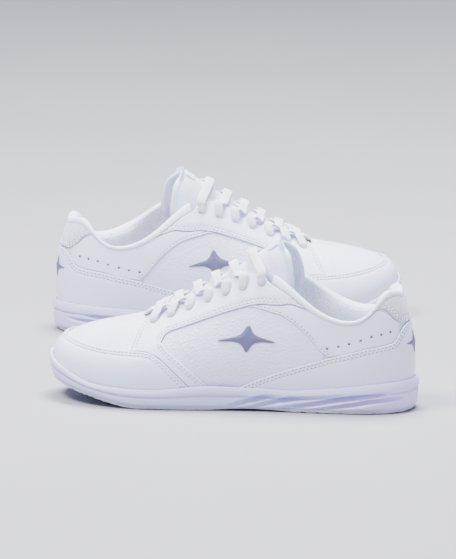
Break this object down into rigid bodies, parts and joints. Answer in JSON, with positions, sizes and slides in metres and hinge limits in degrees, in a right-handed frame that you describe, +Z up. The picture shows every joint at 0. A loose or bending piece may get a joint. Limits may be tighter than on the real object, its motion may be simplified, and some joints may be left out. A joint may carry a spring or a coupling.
{
  "type": "cheer shoes",
  "caption": "A left and right pair of low, light white training shoes for cheerleading: leather upper with overlays, lace-up throat, padded collar, sculpted foam midsole.",
  "frame": {"origin": "on the ground, under the middle of the pair's bounding box", "axes": "+Z up; X along the shoes (left shoe's toe towards -X, right shoe's toe towards +X, each turned 13 degrees with its heel towards -Y); +Y from the left shoe back to the right shoe"},
  "size_m": [0.256, 0.4178, 0.1133],
  "materials": {
    "leather_white": "smooth white leather, satin, fine grain",
    "soft_leather": "softer white leather with a fine pebble",
    "tab_suede": "pale grey brushed suede",
    "midsole_foam": "moulded white foam, matte, finely speckled",
    "outsole_rubber": "white rubber, satin",
    "board": "stitched fibre board",
    "insole_cloth": "brushed textile over foam",
    "lining_mesh": "pale lavender knit mesh",
    "binding": "pale blue-white folded tape",
    "lace_cloth": "flat woven white lace",
    "aglet": "clear-white plastic tip",
    "emblem": "slate grey moulded film, satin",
    "label": "pale blue woven label, blank"
  },
  "bodies": {
    "left_shoe": {"left_outsole": "outsole_rubber", "left_midsole": "midsole_foam", "left_midsole_core": "midsole_foam", "left_lasting_board": "board", "left_lining": "lining_mesh", "left_collar_pad": "lining_mesh", "left_collar_binding": "binding", "left_toe_stiffener": "board", "left_heel_stiffener": "board", "left_vamp": "leather_white", "left_back_panel": "leather_white", "left_mudguard": "leather_white", "left_heel_foxing": "leather_white", "left_heel_tab": "tab_suede", "left_heel_emblem": "emblem", "left_tongue": "leather_white", "left_lace_keeper": "binding", "left_side_panel_lateral": "soft_leather", "left_side_panel_medial": "soft_leather", "left_eyestay_lateral": "leather_white", "left_eyestay_medial": "leather_white", "left_rear_quarter_lateral": "leather_white", "left_rear_quarter_medial": "leather_white", "left_side_emblem_lateral": "emblem", "left_side_emblem_medial": "emblem", "left_lace": "lace_cloth", "left_aglets": "aglet"},
    "left_tongue_top": {"left_tongue_top": "leather_white", "left_tongue_label": "label"},
    "left_insole": {"left_insole": "insole_cloth"},
    "right_shoe": {"right_outsole": "outsole_rubber", "right_midsole": "midsole_foam", "right_midsole_core": "midsole_foam", "right_lasting_board": "board", "right_lining": "lining_mesh", "right_collar_pad": "lining_mesh", "right_collar_binding": "binding", "right_toe_stiffener": "board", "right_heel_stiffener": "board", "right_vamp": "leather_white", "right_back_panel": "leather_white", "right_mudguard": "leather_white", "right_heel_foxing": "leather_white", "right_heel_tab": "tab_suede", "right_heel_emblem": "emblem", "right_tongue": "leather_white", "right_lace_keeper": "binding", "right_side_panel_lateral": "soft_leather", "right_side_panel_medial": "soft_leather", "right_eyestay_lateral": "leather_white", "right_eyestay_medial": "leather_white", "right_rear_quarter_lateral": "leather_white", "right_rear_quarter_medial": "leather_white", "right_side_emblem_lateral": "emblem", "right_side_emblem_medial": "emblem", "right_lace": "lace_cloth", "right_aglets": "aglet"},
    "right_tongue_top": {"right_tongue_top": "leather_white", "right_tongue_label": "label"},
    "right_insole": {"right_insole": "insole_cloth"}
  },
  "joints": [
    {"name": "pair_lift", "type": "slide", "parent": "left_shoe", "child": "right_shoe", "axis": [0, 0, 1], "range_m": [0, 0.12]},
    {"name": "left_tongue_pull", "type": "hinge", "parent": "left_shoe", "child": "left_tongue_top", "pos_m": [0.02241, -0.15937, 0.105], "axis": [-0.225, -0.9744, 0], "range_deg": [0, 16]},
    {"name": "left_insole_lift", "type": "hinge", "parent": "left_shoe", "child": "left_insole", "pos_m": [-0.11303, -0.12811, 0.019], "axis": [-0.225, -0.9744, 0], "range_deg": [0, 5]},
    {"name": "right_tongue_pull", "type": "hinge", "parent": "right_shoe", "child": "right_tongue_top", "pos_m": [-0.02241, 0.14063, 0.105], "axis": [-0.225, 0.9744, 0], "range_deg": [0, 16]},
    {"name": "right_insole_lift", "type": "hinge", "parent": "right_shoe", "child": "right_insole", "pos_m": [0.11303, 0.17189, 0.019], "axis": [-0.225, 0.9744, 0], "range_deg": [0, 5]}
  ]
}
